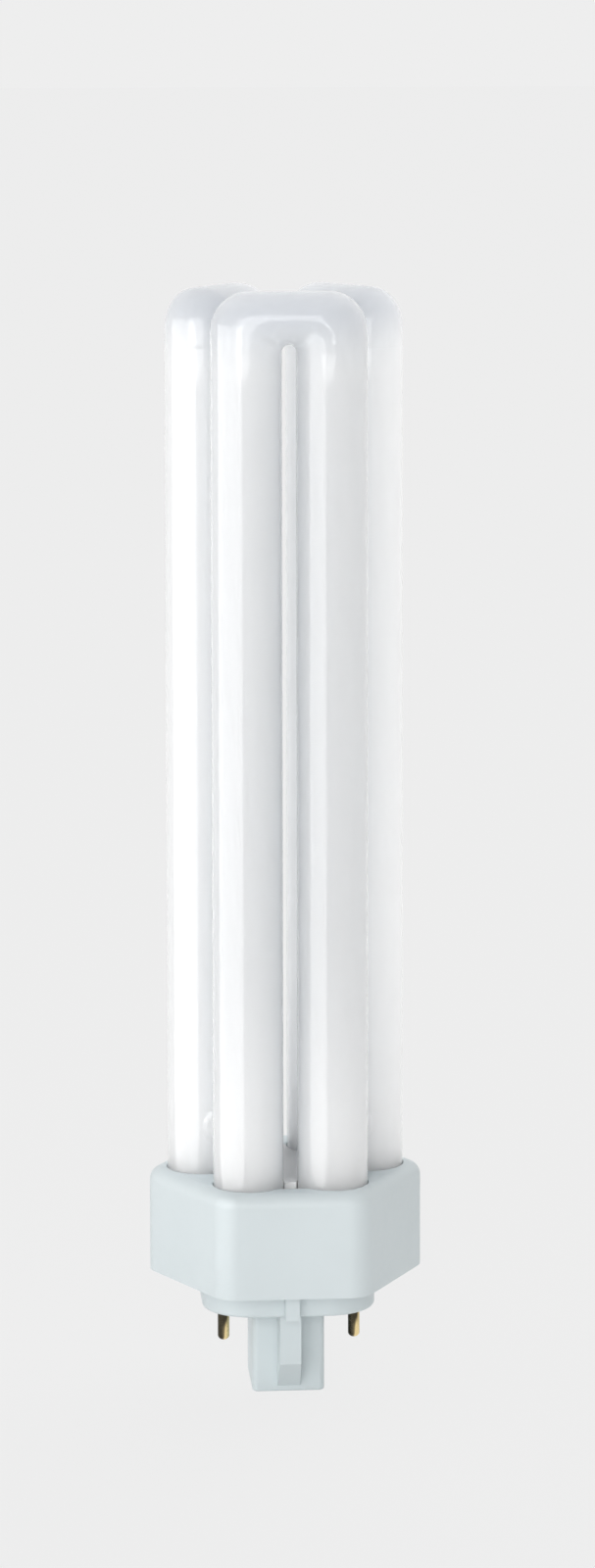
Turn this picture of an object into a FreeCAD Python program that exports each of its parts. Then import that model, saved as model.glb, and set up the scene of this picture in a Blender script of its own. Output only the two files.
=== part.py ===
import FreeCAD, Part
import math
import os
import Sketcher

# A plug-in fluorescent lamp, in millimetres.
# Three U tubes stand in the corners of a six-sided holder and are fused into one sealed glass by
# short bridges. Under the holder a square foot carries four pins and a post that locks in a socket.
# The origin is on the lamp's axis at the foot's lower face, +Z points to the tube tops, and the
# side with the key faces -Y.

DIMENSIONS = [
    # Glass
    ("tube_diameter", 12.0),
    ("leg_gap", 2.35),
    ("tube_top_height", 174.7),
    ("bend_neck", 9.0),
    ("bend_shoulder_radius", 6.5),
    ("bridge_diameter", 5.6),
    ("bridge_height", 8.2),
    ("bridge_blend", 0.9),
    ("seal_width", 7.0),
    ("seal_thickness", 2.6),
    ("seal_length", 3.5),
    ("seal_room", 2.4),
    # Holder
    ("holder_height", 17.9),
    ("holder_corner_radius", 4.5),
    ("holder_top_rounding", 2.2),
    ("holder_wall", 1.6),
    ("holder_plate", 2.0),
    ("rim_wall", 1.0),
    ("leg_clearance", 0.15),
    ("leg_room", 0.85),
    ("slot_width", 4.2),
    # Plug cap
    ("cap_plate", 2.0),
    ("cap_clearance", 0.1),
    ("foot_corner_radius", 8.4),
    ("foot_height", 4.9),
    ("foot_edge_radius", 0.5),
    ("foot_wall", 1.6),
    ("foot_floor", 1.8),
    ("collar_room", 0.3),
    ("key_width", 2.4),
    ("key_reach", 2.2),
    ("post_width", 12.4),
    ("post_depth", 14.0),
    ("post_length", 15.3),
    ("post_wall", 1.5),
    ("post_corner_radius", 1.0),
    ("post_end_radius", 0.4),
    ("rib_root_width", 3.9),
    ("rib_front_width", 3.6),
    ("rib_reach", 5.3),
    ("rib_straight_length", 8.95),
    ("rib_end_gap", 1.0),
    # Pins, wires and cement
    ("pin_diameter", 2.0),
    ("pin_length", 5.7),
    ("pin_tip_radius", 0.8),
    ("pin_seat_diameter", 2.3),
    ("pin_row_spacing", 22.4),
    ("pin_pair_spacing", 15.0),
    ("pin_clearance", 0.03),
    ("pin_collar_diameter", 3.4),
    ("pin_collar_height", 0.8),
    ("pin_tail_diameter", 1.7),
    ("pin_tail_height", 2.0),
    ("wire_diameter", 0.5),
    ("wire_clearance", 0.05),
    ("wire_socket_depth", 1.5),
    ("wire_spacing", 3.2),
    ("wire_bend_radius", 1.4),
    ("wire_lift", 0.6),
    ("wire_straight", 0.3),
    ("cement_depth", 3.0),
    ("cement_clearance", 0.05),
]

# Sizes and levels that several pieces share, worked out from the dimensions
# On a regular hexagon the legs' circle has the same radius as the spacing of neighbouring legs.
LEG_SPACING = "(Dims.tube_diameter + Dims.leg_gap)"
LEG_ROW_OFFSET = "(%s * sqrt(3) / 2)" % LEG_SPACING
LEG_REACH = "(%s + Dims.tube_diameter / 2 + Dims.leg_room)" % LEG_ROW_OFFSET
HOLDER_FLATS = "(2 * (%s + Dims.holder_wall))" % LEG_REACH
HOLDER_TOP = "(Dims.foot_height + Dims.holder_height)"
HOLDER_INSIDE_TOP = "(%s - Dims.holder_plate)" % HOLDER_TOP
CAP_PLATE_TOP = "(Dims.foot_height + Dims.cap_plate)"
FOOT_HOLLOW = "(Dims.pin_row_spacing + Dims.pin_collar_diameter + 2 * Dims.collar_room)"
FOOT_WIDTH = "(%s + 2 * Dims.foot_wall)" % FOOT_HOLLOW
SEAL_END = "(%s + Dims.seal_room)" % CAP_PLATE_TOP
LEG_END = "(%s + Dims.seal_length)" % SEAL_END
LEG_STRAIGHT_START = "(%s + Dims.tube_diameter / 2)" % LEG_END
BEND_START = "(Dims.tube_top_height - Dims.bend_neck - Dims.leg_gap / 2)"
BRIDGE_LEVEL = "(%s + Dims.bridge_height)" % HOLDER_TOP
RIB_LENGTH = "(Dims.post_length - Dims.rib_end_gap)"
PIN_TAIL_TOP = "(Dims.foot_floor + Dims.pin_collar_height + Dims.pin_tail_height)"
PIN_BORE_END = "(%s - Dims.wire_socket_depth)" % PIN_TAIL_TOP
WIRE_RUN_LEVEL = "(%s + Dims.wire_lift)" % CAP_PLATE_TOP
WIRE_DROP = "(Dims.seal_room - Dims.wire_lift - Dims.wire_straight)"

# The legs stand in equal turns about the axis, starting at +X, and so do the tubes, starting at -Y
LEG_NAMES = ["RightFront", "RightRear", "LeftRear", "LeftFront", "FrontLeft", "FrontRight"]
TUBE_NAMES = ["Front", "Right", "Left"]
BEND_STEPS_PER_SIDE = 12
SIDES = {"left": -1, "right": 1}
ROWS = {"front": -1, "rear": 1}
UP = FreeCAD.Vector(0, 0, 1)

doc = FreeCAD.newDocument("FluorescentLamp")
sheet = doc.addObject("Spreadsheet::Sheet", "Dims")
for row, (alias, size) in enumerate(DIMENSIONS, start=1):
    sheet.set("A%d" % row, alias)
    sheet.set("B%d" % row, str(size))
    sheet.setAlias("B%d" % row, alias)
doc.recompute()


# Helpers for sizes, sketches and features

def number(expression):
    return float(sheet.evalExpression(expression))


def bind(item, expressions):
    for name, expression in expressions.items():
        item.setExpression(name, expression)


def place_at(item, across, along, level):
    bind(item, {"Placement.Base.x": across, "Placement.Base.y": along, "Placement.Base.z": level})


def origin_feature(body, role):
    return [item for item in body.Origin.OriginFeatures if item.Role == role][0]


def new_body(label):
    body = doc.addObject("PartDesign::Body", label)
    body.Label = label
    return body


def new_sketch(body, name, plane, level):
    sketch = body.newObject("Sketcher::SketchObject", name)
    sketch.AttachmentSupport = (origin_feature(body, plane), [""])
    sketch.MapMode = "FlatFace"
    bind(sketch, {"AttachmentOffset.Base.z": level})
    return sketch


def hold(sketch, kind, geometry, point, expression):
    constraint = Sketcher.Constraint(kind, -1, 1, geometry, point, number(expression))
    sketch.setExpression("Constraints[%d]" % sketch.addConstraint(constraint), expression)


def polygon(body, name, level, corners, plane="XY_Plane"):
    """A closed outline whose corners are held by their distances from the plane's origin."""
    sketch = new_sketch(body, name, plane, level)
    points = [FreeCAD.Vector(number(across), number(along), 0) for across, along in corners]
    for start, end in zip(points, points[1:] + points[:1]):
        sketch.addGeometry(Part.LineSegment(start, end), False)
    for index, (across, along) in enumerate(corners):
        before = (index - 1) % len(corners)
        sketch.addConstraint(Sketcher.Constraint("Coincident", before, 2, index, 1))
        hold(sketch, "DistanceX", index, 1, across)
        hold(sketch, "DistanceY", index, 1, along)
    return sketch


def rounded_outline(body, name, level, centres, radius):
    """A closed outline of straight sides and equal round corners, held by the corners' centres."""
    sketch = new_sketch(body, name, "XY_Plane", level)
    middles = [FreeCAD.Vector(number(across), number(along), 0) for across, along in centres]
    size = number(radius)
    count = len(centres)
    sides = []
    arcs = []
    for index in range(count):
        here = middles[index]
        after = middles[(index + 1) % count]
        outward = (after - here).normalize().cross(UP)
        side = Part.LineSegment(here + outward * size, after + outward * size)
        facing = math.atan2(outward.y, outward.x)
        corner = Part.Circle(here, UP, size)
        arc = Part.ArcOfCircle(corner, facing - 2 * math.pi / count, facing)
        arcs.append(sketch.addGeometry(arc, False))
        sides.append(sketch.addGeometry(side, False))
    for index, (across, along) in enumerate(centres):
        after = (index + 1) % count
        sketch.addConstraint(Sketcher.Constraint("Tangent", arcs[index], 2, sides[index], 1))
        sketch.addConstraint(Sketcher.Constraint("Tangent", sides[index], 2, arcs[after], 1))
        hold(sketch, "DistanceX", arcs[index], 3, across)
        hold(sketch, "DistanceY", arcs[index], 3, along)
        fix = sketch.addConstraint(Sketcher.Constraint("Radius", arcs[index], size))
        sketch.setExpression("Constraints[%d]" % fix, radius)
    return sketch


def hexagon(body, name, level, flats, radius):
    """A regular hexagon with one flat to the front, its corners rounded."""
    inset = "(%s - 2 * (%s))" % (flats, radius)
    wide = inset + " / sqrt(3)"
    narrow = inset + " / sqrt(3) / 2"
    deep = inset + " / 2"
    centres = [
        (wide, "0"),
        (narrow, deep),
        ("-" + narrow, deep),
        ("-" + wide, "0"),
        ("-" + narrow, "-" + deep),
        (narrow, "-" + deep),
    ]
    return rounded_outline(body, name, level, centres, radius)


def rectangle_corners(width, depth, middle="0"):
    """The corners of a rectangle across the axis, its middle set off along Y."""
    half = "(%s) / 2" % width
    front = "%s - (%s) / 2" % (middle, depth)
    back = "%s + (%s) / 2" % (middle, depth)
    return [("-" + half, front), (half, front), (half, back), ("-" + half, back)]


def rounded_rectangle(body, name, level, width, depth, radius):
    """A rectangle about the axis with rounded corners."""
    centres = rectangle_corners("%s - 2 * (%s)" % (width, radius), "%s - 2 * (%s)" % (depth, radius))
    return rounded_outline(body, name, level, centres, radius)


def circles(body, name, level, diameter, centres):
    sketch = new_sketch(body, name, "XY_Plane", level)
    for index, (across, along) in enumerate(centres):
        centre = FreeCAD.Vector(number(across), number(along), 0)
        sketch.addGeometry(Part.Circle(centre, UP, number(diameter) / 2), False)
        hold(sketch, "DistanceX", index, 3, across)
        hold(sketch, "DistanceY", index, 3, along)
        size = sketch.addConstraint(Sketcher.Constraint("Diameter", index, number(diameter)))
        sketch.setExpression("Constraints[%d]" % size, diameter)
    return sketch


def extrude(body, kind, sketch, length, reverse=False):
    """A Pad grows along the sketch's normal and a Pocket cuts against it, unless reversed."""
    feature = body.newObject("PartDesign::" + kind, sketch.Name + kind)
    feature.Profile = sketch
    feature.Reversed = reverse
    bind(feature, {"Length": length})
    doc.recompute()
    return feature


def round_edges(body, name, radius, wanted):
    base = body.Tip
    edges = ["Edge%d" % index for index, edge in enumerate(base.Shape.Edges, start=1) if wanted(edge)]
    fillet = body.newObject("PartDesign::Fillet", name)
    fillet.Base = (base, edges)
    bind(fillet, {"Radius": radius})
    doc.recompute()
    return fillet


def at_level(level):
    """Picks the edges that lie flat at one level."""
    height = number(level)

    def wanted(edge):
        return abs(edge.BoundBox.ZMin - height) < 1e-4 and abs(edge.BoundBox.ZMax - height) < 1e-4

    return wanted


def repeat_around(body, name, originals, count):
    """Repeats features in equal turns about the lamp's axis."""
    pattern = body.newObject("PartDesign::PolarPattern", name)
    pattern.Originals = originals
    pattern.Axis = (origin_feature(body, "Z_Axis"), [""])
    pattern.Angle = 360
    pattern.Occurrences = count
    body.Tip = pattern
    doc.recompute()
    return pattern


def leg_place(name):
    """The plan position of a leg, as two expressions."""
    turn = "360 deg * %d / %d" % (LEG_NAMES.index(name), len(LEG_NAMES))
    return "%s * cos(%s)" % (LEG_SPACING, turn), "%s * sin(%s)" % (LEG_SPACING, turn)


def pin_place(side, row):
    """The plan position of a pin, as two expressions."""
    return "%d * Dims.pin_row_spacing / 2" % side, "%d * Dims.pin_pair_spacing / 2" % row


# Glass

def outer_reach(angle, half_width, height, corner):
    """How far the bend's outside lies from the slit's end, in a direction that leans from upright."""
    sine = abs(math.sin(angle))
    cosine = math.cos(angle)
    corner_x = half_width - corner
    corner_z = height - corner
    if height * sine <= corner_x * cosine:
        return height / cosine
    if half_width * cosine <= corner_z * sine:
        return half_width / sine
    along = corner_x * sine + corner_z * cosine
    aside = corner_x * cosine - corner_z * sine
    return along + math.sqrt(corner ** 2 - aside ** 2)


def bend_section(angle):
    """The oval where a plane through the slit's end cuts the bend of the front tube."""
    tube_radius = number("Dims.tube_diameter / 2")
    inner = number("Dims.leg_gap / 2")
    half_width = number("Dims.leg_gap / 2 + Dims.tube_diameter")
    height = number("Dims.bend_neck + Dims.leg_gap / 2")
    reach = outer_reach(angle, half_width, height, number("Dims.bend_shoulder_radius"))
    outward = FreeCAD.Vector(math.sin(angle), 0, math.cos(angle))
    slit_end = FreeCAD.Vector(0, -number(LEG_ROW_OFFSET), number(BEND_START))
    centre = slit_end + outward * ((reach + inner) / 2)
    across = outward * ((inner - reach) / 2)
    deep = FreeCAD.Vector(0, tube_radius, 0)
    normal = across.cross(deep).normalize()
    columns = (across, deep, normal, centre)
    place = FreeCAD.Matrix(
        *[column.x for column in columns],
        *[column.y for column in columns],
        *[column.z for column in columns],
        0, 0, 0, 1,
    )
    unit_circle = Part.Circle(FreeCAD.Vector(0, 0, 0), UP, 1).toShape()
    return Part.Wire(unit_circle.transformGeometry(place).Edges)


def bends():
    """The squared turn at the top of each U, lofted through ovals that fan about the slit's end."""
    steps = range(-BEND_STEPS_PER_SIDE, BEND_STEPS_PER_SIDE + 1)
    angles = [math.pi / 2 * step / BEND_STEPS_PER_SIDE for step in steps]
    turn = Part.makeLoft([bend_section(angle) for angle in angles], True, False)
    features = []
    for index, name in enumerate(TUBE_NAMES):
        feature = doc.addObject("Part::Feature", "Bend" + name)
        feature.Shape = turn
        facing = FreeCAD.Rotation(UP, 360 * index / len(TUBE_NAMES))
        feature.Placement = FreeCAD.Placement(FreeCAD.Vector(), facing)
        features.append(feature)
    return features


def leg_shaft(name):
    """The straight part of a leg, from the bend down into the holder."""
    shaft = doc.addObject("Part::Cylinder", "Leg" + name)
    bind(shaft, {
        "Radius": "Dims.tube_diameter / 2",
        "Height": "%s - %s" % (BEND_START, LEG_STRAIGHT_START),
    })
    place_at(shaft, *leg_place(name), LEG_STRAIGHT_START)
    return shaft


def leg_end(name):
    """The rounded end of a leg inside the holder."""
    end = doc.addObject("Part::Sphere", "LegEnd" + name)
    bind(end, {"Radius": "Dims.tube_diameter / 2"})
    place_at(end, *leg_place(name), LEG_STRAIGHT_START)
    return end


def bridged_pair(name, shafts, first, second):
    """Two legs of neighbouring tubes with the short blended bridge that joins them."""
    start = FreeCAD.Vector(*[number(place) for place in leg_place(first)], 0)
    end = FreeCAD.Vector(*[number(place) for place in leg_place(second)], 0)
    bridge = doc.addObject("Part::Cylinder", "Bridge" + name)
    bridge.Placement = FreeCAD.Placement(FreeCAD.Vector(), FreeCAD.Rotation(UP, end - start))
    bind(bridge, {"Radius": "Dims.bridge_diameter / 2", "Height": LEG_SPACING})
    place_at(bridge, *leg_place(first), BRIDGE_LEVEL)
    pair = doc.addObject("Part::MultiFuse", "Pair" + name)
    pair.Shapes = [shafts[first], shafts[second], bridge]
    doc.recompute()
    seams = [
        index for index, edge in enumerate(pair.Shape.Edges, start=1)
        if not isinstance(edge.Curve, (Part.Line, Part.Circle))
    ]
    radius = min(number("Dims.bridge_blend"), number("Dims.leg_gap / 2.5"))
    blend = doc.addObject("Part::Fillet", "Blend" + name)
    blend.Base = pair
    blend.Edges = [(index, radius, radius) for index in seams]
    doc.recompute()
    return blend


def press_seal(name):
    """The flattened end of an electrode leg, where the wires leave the glass."""
    across, along = leg_place(name)
    seal = doc.addObject("Part::Box", "Seal" + name)
    bind(seal, {
        "Length": "Dims.seal_width",
        "Width": "Dims.seal_thickness",
        "Height": "%s - %s" % (LEG_STRAIGHT_START, SEAL_END),
    })
    place_at(seal, across + " - Dims.seal_width / 2", along + " - Dims.seal_thickness / 2", SEAL_END)
    return seal


def discharge_tube():
    """Six legs, three bends and two bridges in one sealed piece of glass."""
    shafts = {name: leg_shaft(name) for name in LEG_NAMES}
    solids = [
        bridged_pair("Left", shafts, "LeftFront", "FrontLeft"),
        bridged_pair("Right", shafts, "FrontRight", "RightFront"),
        shafts["LeftRear"],
        shafts["RightRear"],
        press_seal("LeftRear"),
        press_seal("RightRear"),
    ]
    solids += [leg_end(name) for name in LEG_NAMES]
    solids += bends()
    tube = doc.addObject("Part::MultiFuse", "discharge_tube")
    tube.Shapes = solids
    tube.Label = "discharge_tube"
    doc.recompute()
    return tube


# Holder

def tube_holder():
    """A six-sided cup, open below. A slot joins the two holes of each U on their outer side."""
    body = new_body("tube_holder")
    bottom = "Dims.foot_height"
    corner = "Dims.holder_corner_radius"
    outline = hexagon(body, "HolderOutline", bottom, HOLDER_FLATS, corner)
    extrude(body, "Pad", outline, "Dims.holder_height")
    round_edges(body, "HolderTopEdge", "Dims.holder_top_rounding", at_level(HOLDER_TOP))
    inside = hexagon(body, "HolderInside", bottom, HOLDER_FLATS + " - 2 * Dims.holder_wall",
                     corner + " - Dims.holder_wall")
    extrude(body, "Pocket", inside, "Dims.holder_height - Dims.holder_plate", reverse=True)
    rim = hexagon(body, "HolderRim", bottom, HOLDER_FLATS + " - 2 * Dims.rim_wall",
                  corner + " - Dims.rim_wall")
    extrude(body, "Pocket", rim, "Dims.cap_plate", reverse=True)

    hole = "Dims.tube_diameter + 2 * Dims.leg_clearance"
    front_legs = [leg_place("FrontLeft"), leg_place("FrontRight")]
    leg_holes = circles(body, "LegHoles", HOLDER_TOP, hole, front_legs)
    holes = extrude(body, "Pocket", leg_holes, "Dims.holder_plate")
    slot_length = LEG_SPACING + " - Dims.tube_diameter / 2"
    slot_middle = "-(%s + Dims.slot_width / 2)" % LEG_ROW_OFFSET
    slot_corners = rectangle_corners(slot_length, "Dims.slot_width", slot_middle)
    slot = extrude(body, "Pocket", polygon(body, "LegSlot", HOLDER_TOP, slot_corners), "Dims.holder_plate")
    repeat_around(body, "LegOpenings", [holes, slot], len(TUBE_NAMES))
    return body


# Plug cap

def rib_sketches(body):
    """The drafted rib in plan, and the wedge that cuts its ramp, seen from the side."""
    root = "-Dims.post_depth / 2"
    front = "(%s - Dims.rib_reach)" % root
    beyond = front + " - Dims.rib_reach"
    end = "-" + RIB_LENGTH
    plan = polygon(body, "RibPlan", "0", [
        ("-Dims.rib_root_width / 2", root),
        ("-Dims.rib_front_width / 2", front),
        ("Dims.rib_front_width / 2", front),
        ("Dims.rib_root_width / 2", root),
    ])
    wedge = polygon(body, "RibWedge", "-Dims.rib_root_width", [
        (root, end),
        (front, "-Dims.rib_straight_length"),
        (beyond, "-Dims.rib_straight_length"),
        (beyond, end + " - Dims.rib_reach"),
    ], plane="YZ_Plane")
    return plan, wedge


def plug_cap():
    """The closing plate, the hollow foot with its key, and the hollow post with a rib front and back."""
    body = new_body("plug_cap")
    foot = rounded_rectangle(body, "FootOutline", "0", FOOT_WIDTH, FOOT_WIDTH, "Dims.foot_corner_radius")
    extrude(body, "Pad", foot, "Dims.foot_height")
    round_edges(body, "FootEdge", "Dims.foot_edge_radius", at_level("0"))
    gap = "(Dims.rim_wall + Dims.cap_clearance)"
    plate = hexagon(body, "PlateOutline", "Dims.foot_height", "%s - 2 * %s" % (HOLDER_FLATS, gap),
                    "Dims.holder_corner_radius - %s" % gap)
    extrude(body, "Pad", plate, "Dims.cap_plate")
    key_corners = rectangle_corners("Dims.key_width", "2 * Dims.key_reach", "-%s / 2" % FOOT_WIDTH)
    extrude(body, "Pad", polygon(body, "KeyOutline", "0", key_corners), "Dims.foot_height")

    post = rounded_rectangle(body, "PostOutline", "0", "Dims.post_width", "Dims.post_depth",
                             "Dims.post_corner_radius")
    extrude(body, "Pad", post, "Dims.post_length", reverse=True)
    round_edges(body, "PostEnd", "Dims.post_end_radius", at_level("-Dims.post_length"))
    plan, wedge = rib_sketches(body)
    rib = extrude(body, "Pad", plan, RIB_LENGTH, reverse=True)
    ramp = extrude(body, "Pocket", wedge, "2 * Dims.rib_root_width", reverse=True)
    repeat_around(body, "Ribs", [rib, ramp], 2)

    hollow = rounded_rectangle(body, "FootHollow", CAP_PLATE_TOP, FOOT_HOLLOW, FOOT_HOLLOW,
                               "Dims.foot_corner_radius - Dims.foot_wall")
    extrude(body, "Pocket", hollow, "%s - Dims.foot_floor" % CAP_PLATE_TOP)
    core_corners = rectangle_corners("Dims.post_width - 2 * Dims.post_wall",
                                     "Dims.post_depth - 2 * Dims.post_wall")
    core = polygon(body, "PostHollow", "Dims.foot_floor", core_corners)
    extrude(body, "Pocket", core, "Dims.foot_floor + Dims.post_length - Dims.post_wall")

    hole = "Dims.pin_seat_diameter + 2 * Dims.pin_clearance"
    places = [pin_place(side, row) for side in SIDES.values() for row in ROWS.values()]
    extrude(body, "Pocket", circles(body, "PinHoles", "Dims.foot_floor", hole, places), "Dims.foot_floor")
    return body


# Pins

def contact_pin(label, side, row):
    """A turned pin: its collar rests on the foot's floor and its hollow tail takes the wire."""
    body = new_body(label)
    shank = "Dims.pin_diameter / 2"
    seat = "Dims.pin_seat_diameter / 2"
    collar = "Dims.pin_collar_diameter / 2"
    tail = "Dims.pin_tail_diameter / 2"
    bore = "Dims.wire_diameter / 2 + Dims.wire_clearance"
    tip = "-Dims.pin_length"
    collar_top = "Dims.foot_floor + Dims.pin_collar_height"
    profile = polygon(body, label + "_profile", "0", [
        ("0", tip),
        (shank, tip),
        (shank, "0"),
        (seat, "0"),
        (seat, "Dims.foot_floor"),
        (collar, "Dims.foot_floor"),
        (collar, collar_top),
        (tail, collar_top),
        (tail, PIN_TAIL_TOP),
        (bore, PIN_TAIL_TOP),
        (bore, PIN_BORE_END),
        ("0", PIN_BORE_END),
    ], plane="XZ_Plane")
    turned = body.newObject("PartDesign::Revolution", label + "_turned")
    turned.Profile = profile
    turned.ReferenceAxis = (profile, ["V_Axis"])
    turned.Angle = 360
    doc.recompute()
    round_edges(body, label + "_tip", "Dims.pin_tip_radius", at_level(tip))
    place_at(body, *pin_place(side, row), "0")
    return body


# Wires

def rounded_path(points, radius):
    """Straight runs through the points, joined by tangent arcs of one radius."""
    edges = []
    start = points[0]
    for before, corner, after in zip(points, points[1:], points[2:]):
        back = (before - corner).normalize()
        ahead = (after - corner).normalize()
        half_turn = back.getAngle(ahead) / 2
        first = corner + back * (radius / math.tan(half_turn))
        last = corner + ahead * (radius / math.tan(half_turn))
        inward = (back + ahead).normalize()
        middle = corner + inward * (radius / math.sin(half_turn) - radius)
        edges.append(Part.LineSegment(start, first).toShape())
        edges.append(Part.Arc(first, middle, last).toShape())
        start = last
    edges.append(Part.LineSegment(start, points[-1]).toShape())
    return Part.Wire(edges)


def lead_wire(label, side, row):
    """A bare wire from an electrode leg's seal, along the inside of the cap and into a pin's tail."""
    leg_across, leg_along = leg_place("LeftRear" if side < 0 else "RightRear")
    seal_x = number(leg_across) + side * row * number("Dims.wire_spacing / 2")
    seal_y = number(leg_along)
    pin_x, pin_y = [number(place) for place in pin_place(side, row)]
    run = number(WIRE_RUN_LEVEL)
    start = FreeCAD.Vector(seal_x, seal_y, number(SEAL_END))
    path = rounded_path([
        start,
        FreeCAD.Vector(seal_x, seal_y, run),
        FreeCAD.Vector(pin_x, pin_y, run),
        FreeCAD.Vector(pin_x, pin_y, number(PIN_BORE_END)),
    ], min(number("Dims.wire_bend_radius"), number(WIRE_DROP)))
    section = Part.Wire(Part.Circle(start, UP, number("Dims.wire_diameter / 2")).toShape())
    wire = doc.addObject("Part::Feature", label)
    wire.Label = label
    wire.Shape = path.makePipeShell([section], True, False)
    return wire


# Cement

def fixing_cement():
    """The layer under the holder's plate that bonds the six legs to it."""
    body = new_body("fixing_cement")
    gap = "(Dims.holder_wall + Dims.cement_clearance)"
    under = "%s - Dims.cement_depth" % HOLDER_INSIDE_TOP
    outline = hexagon(body, "CementOutline", under, "%s - 2 * %s" % (HOLDER_FLATS, gap),
                      "Dims.holder_corner_radius - %s" % gap)
    extrude(body, "Pad", outline, "Dims.cement_depth")
    hole = "Dims.tube_diameter + 2 * Dims.cement_clearance"
    one_leg = circles(body, "CementHole", HOLDER_INSIDE_TOP, hole, [leg_place("RightFront")])
    cut = extrude(body, "Pocket", one_leg, "Dims.cement_depth")
    repeat_around(body, "CementHoles", [cut], len(LEG_NAMES))
    return body


pieces = [discharge_tube(), tube_holder(), plug_cap(), fixing_cement()]
for row_name, row_sign in ROWS.items():
    for side_name, side_sign in SIDES.items():
        pieces.append(contact_pin("contact_pin_%s_%s" % (row_name, side_name), side_sign, row_sign))
        pieces.append(lead_wire("lead_wire_%s_%s" % (row_name, side_name), side_sign, row_sign))
doc.recompute()

for item in doc.Objects:
    if "Invalid" in item.State or "Error" in item.State:
        raise RuntimeError("%s failed: %s" % (item.Name, item.State))
for piece in pieces:
    if piece.Shape.isNull() or not piece.Shape.isValid() or len(piece.Shape.Solids) != 1:
        raise RuntimeError("%s is not one valid solid" % piece.Label)

os.makedirs("parts", exist_ok=True)
for piece in pieces:
    piece.Shape.exportStep("parts/%s.step" % piece.Label)
    print("%-26s volume %9.1f mm3" % (piece.Label, piece.Shape.Volume))
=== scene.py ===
import math

import bpy
from mathutils import Matrix, Vector


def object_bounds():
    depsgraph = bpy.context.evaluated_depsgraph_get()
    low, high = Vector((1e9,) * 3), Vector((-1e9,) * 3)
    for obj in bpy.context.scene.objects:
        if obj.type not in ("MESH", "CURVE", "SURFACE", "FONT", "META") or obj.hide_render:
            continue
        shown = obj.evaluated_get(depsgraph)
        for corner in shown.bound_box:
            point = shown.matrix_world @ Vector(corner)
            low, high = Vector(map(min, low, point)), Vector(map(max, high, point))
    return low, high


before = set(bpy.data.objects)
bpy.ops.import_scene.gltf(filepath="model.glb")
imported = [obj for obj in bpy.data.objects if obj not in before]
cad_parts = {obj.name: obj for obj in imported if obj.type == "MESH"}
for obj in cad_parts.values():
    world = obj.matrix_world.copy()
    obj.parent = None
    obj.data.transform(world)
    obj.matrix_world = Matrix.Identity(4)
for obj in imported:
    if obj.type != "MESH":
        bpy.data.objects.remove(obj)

cad_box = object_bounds()
scene = bpy.context.scene
scene.view_settings.view_transform = "Standard"

MM = 0.001

# Sizes of the part that the materials follow
# Radius of the painted light that pales the holder's top inside the ring of legs
PAINTED_LIGHT_RADIUS = 13.5 * MM
PIN_ROW_SPACING = 22.4 * MM
PIN_PAIR_SPACING = 15.0 * MM

# Noise rarely leaves this range
NOISE_LOW = 0.3
NOISE_HIGH = 0.7

SURFACE_IOR = 1.5
GLASS_IOR = 1.52

# Sockets of the Mix node when it mixes colours
MIX_FIRST = 6
MIX_SECOND = 7
MIX_RESULT = 2


# Node helpers

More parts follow.
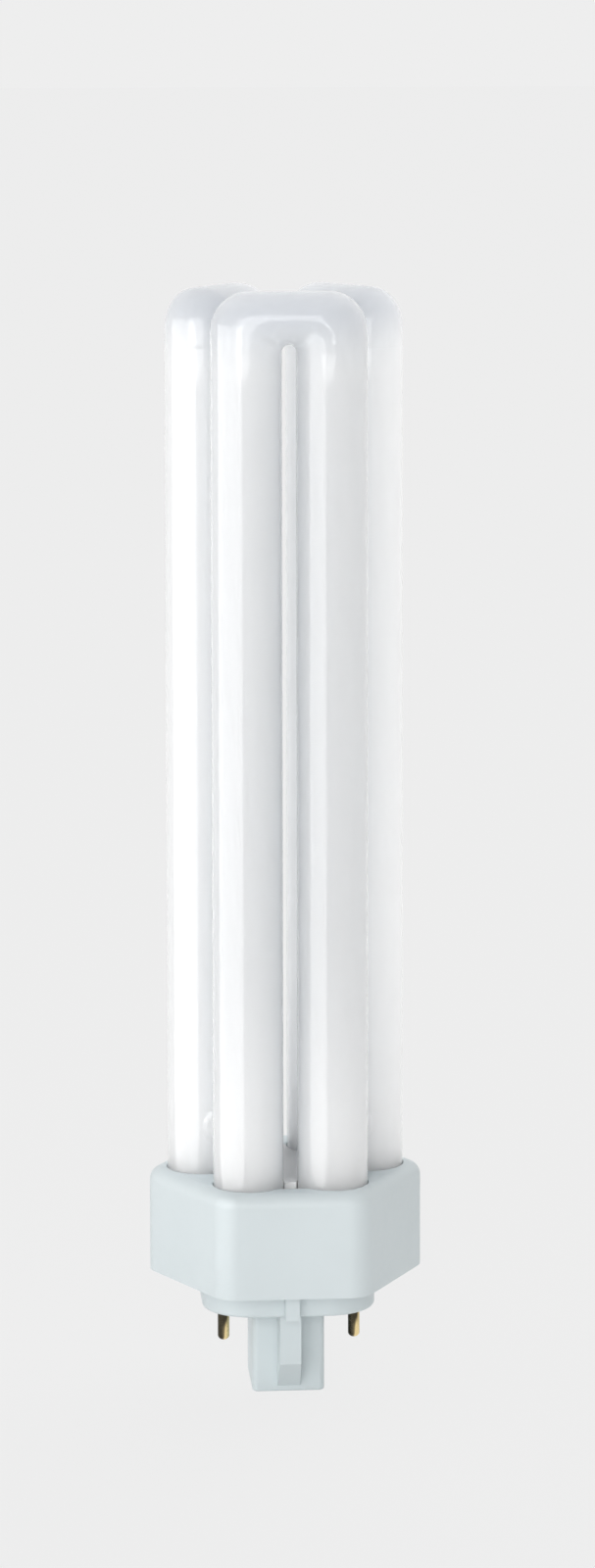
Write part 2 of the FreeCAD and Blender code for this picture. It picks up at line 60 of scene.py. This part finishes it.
class Shader:
    """One material with a Principled shader and short ways to add nodes to it."""

    def __init__(self, name, colour, roughness, metallic=0.0):
        self.material = bpy.data.materials.new(name)
        self.material.use_nodes = True
        self.nodes = self.material.node_tree.nodes
        self.links = self.material.node_tree.links
        self.surface = self.nodes["Principled BSDF"]
        self.put("Base Color", (*colour, 1.0))
        self.put("Roughness", roughness)
        self.put("Metallic", metallic)
        self.put("IOR", SURFACE_IOR)
        self.place = self.nodes.new("ShaderNodeTexCoord").outputs["Object"]

    def put(self, socket, value):
        self.surface.inputs[socket].default_value = value

    def link(self, output, socket):
        self.links.new(output, self.surface.inputs[socket])

    def repeat_across(self, along_x, along_y):
        """Makes what is drawn next the same on pieces that stand these distances apart."""
        node = self.nodes.new("ShaderNodeVectorMath")
        node.operation = "WRAP"
        self.links.new(self.place, node.inputs[0])
        node.inputs[1].default_value = (along_x, 0, 1)
        node.inputs[2].default_value = (0, -along_y, -1)
        self.place = node.outputs["Vector"]

    def stretched(self, factors):
        node = self.nodes.new("ShaderNodeVectorMath")
        node.operation = "MULTIPLY"
        self.links.new(self.place, node.inputs[0])
        node.inputs[1].default_value = factors
        return node.outputs["Vector"]

    def noise(self, scale, detail, rough=0.5, stretch=(1, 1, 1)):
        node = self.nodes.new("ShaderNodeTexNoise")
        node.inputs["Scale"].default_value = scale
        node.inputs["Detail"].default_value = detail
        node.inputs["Roughness"].default_value = rough
        self.links.new(self.stretched(stretch), node.inputs["Vector"])
        return node.outputs["Fac"]

    def height(self):
        node = self.nodes.new("ShaderNodeSeparateXYZ")
        self.links.new(self.place, node.inputs[0])
        return node.outputs["Z"]

    def from_axis(self):
        node = self.nodes.new("ShaderNodeVectorMath")
        node.operation = "LENGTH"
        self.links.new(self.stretched((1, 1, 0)), node.inputs[0])
        return node.outputs["Value"]

    def between(self, value, low, high, start, end):
        """Runs smoothly from start to end while a value runs from low to high."""
        node = self.nodes.new("ShaderNodeMapRange")
        node.interpolation_type = "SMOOTHSTEP"
        self.links.new(value, node.inputs["Value"])
        node.inputs["From Min"].default_value = low
        node.inputs["From Max"].default_value = high
        node.inputs["To Min"].default_value = start
        node.inputs["To Max"].default_value = end
        return node.outputs["Result"]

    def spread(self, noise, start=0, end=1):
        """Noise spread over the range from start to end."""
        return self.between(noise, NOISE_LOW, NOISE_HIGH, start, end)

    def mixed(self, amount, first, second):
        """Two colours, or outputs that carry one, mixed by an output."""
        node = self.nodes.new("ShaderNodeMix")
        node.data_type = "RGBA"
        self.links.new(amount, node.inputs["Factor"])
        for number, colour in ((MIX_FIRST, first), (MIX_SECOND, second)):
            if isinstance(colour, tuple):
                node.inputs[number].default_value = (*colour, 1.0)
            else:
                self.links.new(colour, node.inputs[number])
        return node.outputs[MIX_RESULT]

    def bump(self, height, strength, distance, under=None):
        node = self.nodes.new("ShaderNodeBump")
        node.inputs["Strength"].default_value = strength
        node.inputs["Distance"].default_value = distance
        self.links.new(height, node.inputs["Height"])
        if under is not None:
            self.links.new(under, node.inputs["Normal"])
        return node.outputs["Normal"]


def give(material, *names):
    for name in names:
        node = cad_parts[name]
        node.data.materials.clear()
        node.data.materials.append(material)


# Materials

def coated_glass():
    """White phosphor on the inside of clear drawn glass, with painted shade darkening the tops of the
    bends.
    """
    powder_light = (0.92, 0.957, 0.99)
    powder_dark = (0.905, 0.946, 0.984)
    # Painted shade: this blue-grey darkens the tops of the bends between the two heights below
    painted_bend_shade = (0.46, 0.49, 0.545)
    bend_shade_from = 160 * MM
    bend_shade_to = 172 * MM
    reach_low = 28 * MM
    reach_high = 68 * MM
    reach_from = 18 * MM
    reach_to = 70 * MM
    shader = Shader("tube_glass_coated", powder_light, roughness=0.5)
    cloud = shader.spread(shader.noise(scale=60, detail=3, stretch=(1, 1, 0.25)))
    # Painted shade on the bend tops, rising over the last millimetres of height
    bend_shade_mask = shader.between(shader.height(), bend_shade_from, bend_shade_to, 0, 1)
    coat = shader.mixed(bend_shade_mask, shader.mixed(cloud, powder_dark, powder_light), painted_bend_shade)
    shader.link(coat, "Base Color")
    shader.put("Subsurface Weight", 1.0)
    shader.put("Subsurface Radius", (1.0, 1.0, 1.0))
    reach = shader.between(shader.height(), reach_from, reach_to, reach_low, reach_high)
    shader.link(reach, "Subsurface Scale")
    shader.put("Coat Weight", 1.0)
    shader.put("Coat IOR", GLASS_IOR)
    shader.put("Coat Roughness", 0.02)
    shader.put("Specular IOR Level", 0.1)
    return shader.material


def moulded_plastic(name, light, shade, grain, painted_light_radius=None):
    """Cool white moulding with a fine eroded grain, and painted light: a pale patch within a radius of
    the axis, where the legs shade the top.
    """
    # Pale tone of the painted light on the shaded top inside the ring of legs
    painted_light_tone = (0.9, 0.89, 0.88)
    shader = Shader(name, light, roughness=0.42)
    mottle = shader.spread(shader.noise(scale=55, detail=4))
    colour = shader.mixed(mottle, shade, light)
    if painted_light_radius:
        # Painted light: the top inside the ring of legs is paled where the legs shade it
        painted_light_mask = shader.between(shader.from_axis(), 0.9 * painted_light_radius, painted_light_radius, 1, 0)
        colour = shader.mixed(painted_light_mask, colour, painted_light_tone)
    shader.link(colour, "Base Color")
    shader.link(shader.spread(shader.noise(scale=900, detail=3), start=0.36, end=0.5), "Roughness")
    fine = shader.bump(shader.noise(scale=2600, detail=3, rough=0.6), strength=grain, distance=0.06 * MM)
    wavy = shader.bump(shader.noise(scale=140, detail=2), strength=0.12, distance=0.2 * MM, under=fine)
    shader.link(wavy, "Normal")
    return shader.material


def brass():
    """Turned brass with fine rings round the pin, and painted reflection: dark streaks along it that
    stand in for a dark reflection, the same on every pin.
    """
    bright = (0.9, 0.72, 0.38)
    # Near-black of the painted reflection on the pins
    painted_reflection_dark = (0.06, 0.052, 0.035)
    shader = Shader("pin_brass_turned", bright, roughness=0.24, metallic=1.0)
    # The painted reflection falls at the same place on every pin
    shader.repeat_across(PIN_ROW_SPACING, PIN_PAIR_SPACING)
    # Painted reflection: dark streaks along the pin stand in for a dark reflection
    painted_reflection_streaks = shader.noise(scale=520, detail=2, stretch=(1, 1, 0.12))
    painted_reflection_mask = shader.between(painted_reflection_streaks, low=0.44, high=0.54, start=0, end=1)
    shader.link(shader.mixed(painted_reflection_mask, bright, painted_reflection_dark), "Base Color")
    shader.link(shader.spread(shader.noise(scale=700, detail=3), start=0.18, end=0.32), "Roughness")
    rings = shader.noise(scale=300, detail=2, stretch=(0.05, 0.05, 12))
    shader.link(shader.bump(rings, strength=0.2, distance=0.05 * MM), "Normal")
    return shader.material


def tinned_wire():
    shader = Shader("wire_metal_drawn", (0.72, 0.72, 0.7), roughness=0.3, metallic=1.0)
    shader.link(shader.spread(shader.noise(scale=800, detail=3), start=0.22, end=0.42), "Roughness")
    scratches = shader.noise(scale=2500, detail=2)
    shader.link(shader.bump(scratches, strength=0.15, distance=0.03 * MM), "Normal")
    return shader.material


def gritty_cement():
    shader = Shader("cement_gritty", (0.74, 0.72, 0.68), roughness=0.85)
    grit = shader.spread(shader.noise(scale=900, detail=5))
    shader.link(shader.mixed(grit, (0.66, 0.64, 0.6), (0.8, 0.78, 0.74)), "Base Color")
    grains = shader.noise(scale=1500, detail=4)
    shader.link(shader.bump(grains, strength=0.5, distance=0.1 * MM), "Normal")
    return shader.material


holder_plastic = moulded_plastic(
    "holder_plastic_grained",
    light=(0.645, 0.705, 0.72),
    shade=(0.625, 0.685, 0.7),
    grain=0.16,
    painted_light_radius=PAINTED_LIGHT_RADIUS,
)
cap_plastic = moulded_plastic(
    "cap_plastic_grained",
    light=(0.62, 0.68, 0.695),
    shade=(0.6, 0.66, 0.675),
    grain=0.12,
)
give(coated_glass(), "discharge_tube")
give(holder_plastic, "tube_holder")
give(cap_plastic, "plug_cap")
give(gritty_cement(), "fixing_cement")
PINS = [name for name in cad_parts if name.startswith("contact_pin")]
WIRES = [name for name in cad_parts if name.startswith("lead_wire")]
give(brass(), *PINS)
give(tinned_wire(), *WIRES)


# Floor and room

BACKGROUND = 0.855
FLOOR_GLOW = 0.93
FLOOR_TONE = 0.855
FLOOR_PAPER = 0.93
FLOOR_HALF = 12.0
LOBE_EDGE = 0.2


def grey(tone):
    return (tone, tone, tone, 1)


def heading(direction, elevation):
    """The way towards a direction in degrees from the front, positive to the right."""
    turn = math.radians(direction)
    rise = math.radians(elevation)
    return Vector((math.sin(turn) * math.cos(rise), -math.cos(turn) * math.cos(rise), math.sin(rise)))


def seen_directly(nodes, links):
    """One for rays from the camera, and for those that gloss and glass send on."""
    path = nodes.new("ShaderNodeLightPath")
    total = path.outputs["Is Camera Ray"]
    for name in ("Is Glossy Ray", "Is Transmission Ray"):
        add = nodes.new("ShaderNodeMath")
        add.operation = "ADD"
        add.use_clamp = True
        links.new(total, add.inputs[0])
        links.new(path.outputs[name], add.inputs[1])
        total = add.outputs[0]
    return total


def make_floor():
    """Pale paper under the lamp, with most of its tone fixed where it is seen, and a soft shadow."""
    mesh = bpy.data.meshes.new("floor")
    corners = [(-1, -1), (1, -1), (1, 1), (-1, 1)]
    level = cad_box[0][2]
    mesh.from_pydata([(x * FLOOR_HALF, y * FLOOR_HALF, level) for x, y in corners], [], [(0, 1, 2, 3)])
    floor = bpy.data.objects.new("floor", mesh)
    scene.collection.objects.link(floor)
    material = bpy.data.materials.new("floor_paper")
    material.use_nodes = True
    nodes = material.node_tree.nodes
    links = material.node_tree.links
    nodes.clear()
    diffuse = nodes.new("ShaderNodeBsdfDiffuse")
    diffuse.inputs["Color"].default_value = grey(FLOOR_PAPER)
    glow = nodes.new("ShaderNodeEmission")
    glow.inputs["Color"].default_value = grey(FLOOR_TONE)
    share = nodes.new("ShaderNodeMath")
    share.operation = "MULTIPLY"
    links.new(seen_directly(nodes, links), share.inputs[0])
    share.inputs[1].default_value = FLOOR_GLOW
    mix = nodes.new("ShaderNodeMixShader")
    links.new(share.outputs[0], mix.inputs[0])
    links.new(diffuse.outputs[0], mix.inputs[1])
    links.new(glow.outputs[0], mix.inputs[2])
    output = nodes.new("ShaderNodeOutputMaterial")
    links.new(mix.outputs[0], output.inputs["Surface"])
    mesh.materials.append(material)


def make_world(sides, overhead, lobes):
    """A room that is darker overhead, with broad lobes of more or less light from given directions."""
    world = bpy.data.worlds.new("studio")
    scene.world = world
    world.use_nodes = True
    nodes = world.node_tree.nodes
    links = world.node_tree.links
    background = nodes["Background"]
    aim = nodes.new("ShaderNodeTexCoord").outputs["Generated"]
    split = nodes.new("ShaderNodeSeparateXYZ")
    links.new(aim, split.inputs[0])
    rise = nodes.new("ShaderNodeMapRange")
    links.new(split.outputs["Z"], rise.inputs["Value"])
    rise.inputs["To Min"].default_value = sides
    rise.inputs["To Max"].default_value = overhead
    room = rise.outputs["Result"]
    for direction, gain in lobes:
        along = nodes.new("ShaderNodeVectorMath")
        along.operation = "DOT_PRODUCT"
        links.new(aim, along.inputs[0])
        along.inputs[1].default_value = heading(direction, 0)
        lobe = nodes.new("ShaderNodeMapRange")
        lobe.interpolation_type = "SMOOTHSTEP"
        links.new(along.outputs["Value"], lobe.inputs["Value"])
        lobe.inputs["From Min"].default_value = LOBE_EDGE
        lobe.inputs["To Max"].default_value = gain
        total = nodes.new("ShaderNodeMath")
        links.new(room, total.inputs[0])
        links.new(lobe.outputs["Result"], total.inputs[1])
        room = total.outputs[0]
    lit = nodes.new("ShaderNodeMath")
    lit.operation = "MAXIMUM"
    links.new(room, lit.inputs[0])
    lit.inputs[1].default_value = 0.0
    tone = nodes.new("ShaderNodeMix")
    tone.data_type = "RGBA"
    links.new(seen_directly(nodes, links), tone.inputs["Factor"])
    links.new(lit.outputs[0], tone.inputs[MIX_FIRST])
    tone.inputs[MIX_SECOND].default_value = grey(BACKGROUND)
    links.new(tone.outputs[MIX_RESULT], background.inputs["Color"])
    background.inputs["Strength"].default_value = 1.0


# Each lobe's direction, and how much light it adds
REAR_LEFT = (-105, 0.2)
REAR_RIGHT = (135, 1.75)
DARK_RIGHT = (78, -1.1)

make_floor()
make_world(sides=1.0, overhead=0.46, lobes=[REAR_LEFT, REAR_RIGHT, DARK_RIGHT])


# Lights

# The power that gives a lamp of one square metre a radiance of one
POWER_PER_AREA = 4
STRIP_AIM = Vector((0, 0, 91.5 * MM))
FILL_AIM = Vector((0, 0, 60 * MM))


def soft_box(name, direction, elevation, distance, width, height, radiance, target):
    """A soft box that faces the target and isn't seen itself."""
    data = bpy.data.lights.new(name, "AREA")
    data.shape = "RECTANGLE"
    data.size = width
    data.size_y = height
    data.energy = radiance * POWER_PER_AREA * width * height
    lamp = bpy.data.objects.new(name, data)
    scene.collection.objects.link(lamp)
    away = heading(direction, elevation)
    lamp.location = target + away * distance
    lamp.rotation_euler = (-away).to_track_quat("-Z", "Y").to_euler()
    lamp.visible_camera = False
    return lamp


# The strip only draws the long highlights on the glass
strip = soft_box(
    "strip_left", direction=-60, elevation=0, distance=0.125,
    width=0.22, height=0.21, radiance=2.1, target=STRIP_AIM,
)
strip.visible_diffuse = False
soft_box(
    "fill_front", direction=-14, elevation=12, distance=2.0,
    width=1.7, height=1.2, radiance=2.2, target=FILL_AIM,
)


# Camera

SENSOR_WIDTH = 36.0
LENS = 101.599
SHIFT_X = 0.00916
SHIFT_Y = -0.25021
CAMERA_PLACE = Vector((-54.06, -748.65, 222.40)) * MM
CAMERA_TURN = math.radians(4.124)
CAMERA_PITCH = math.radians(5.0)
CAMERA_ROLL = -0.0021


def make_camera():
    data = bpy.data.cameras.new("camera")
    camera = bpy.data.objects.new("camera", data)
    scene.collection.objects.link(camera)
    data.sensor_fit = "AUTO"
    data.sensor_width = SENSOR_WIDTH
    data.lens = LENS
    data.shift_x = SHIFT_X
    data.shift_y = SHIFT_Y
    data.clip_start = 0.05
    data.clip_end = 60.0
    forward = Vector((
        math.sin(CAMERA_TURN) * math.cos(CAMERA_PITCH),
        math.cos(CAMERA_TURN) * math.cos(CAMERA_PITCH),
        -math.sin(CAMERA_PITCH),
    ))
    aim = forward.to_track_quat("-Z", "Y").to_matrix().to_4x4()
    camera.matrix_world = Matrix.Translation(CAMERA_PLACE) @ aim @ Matrix.Rotation(CAMERA_ROLL, 4, "Z")
    scene.camera = camera


make_camera()
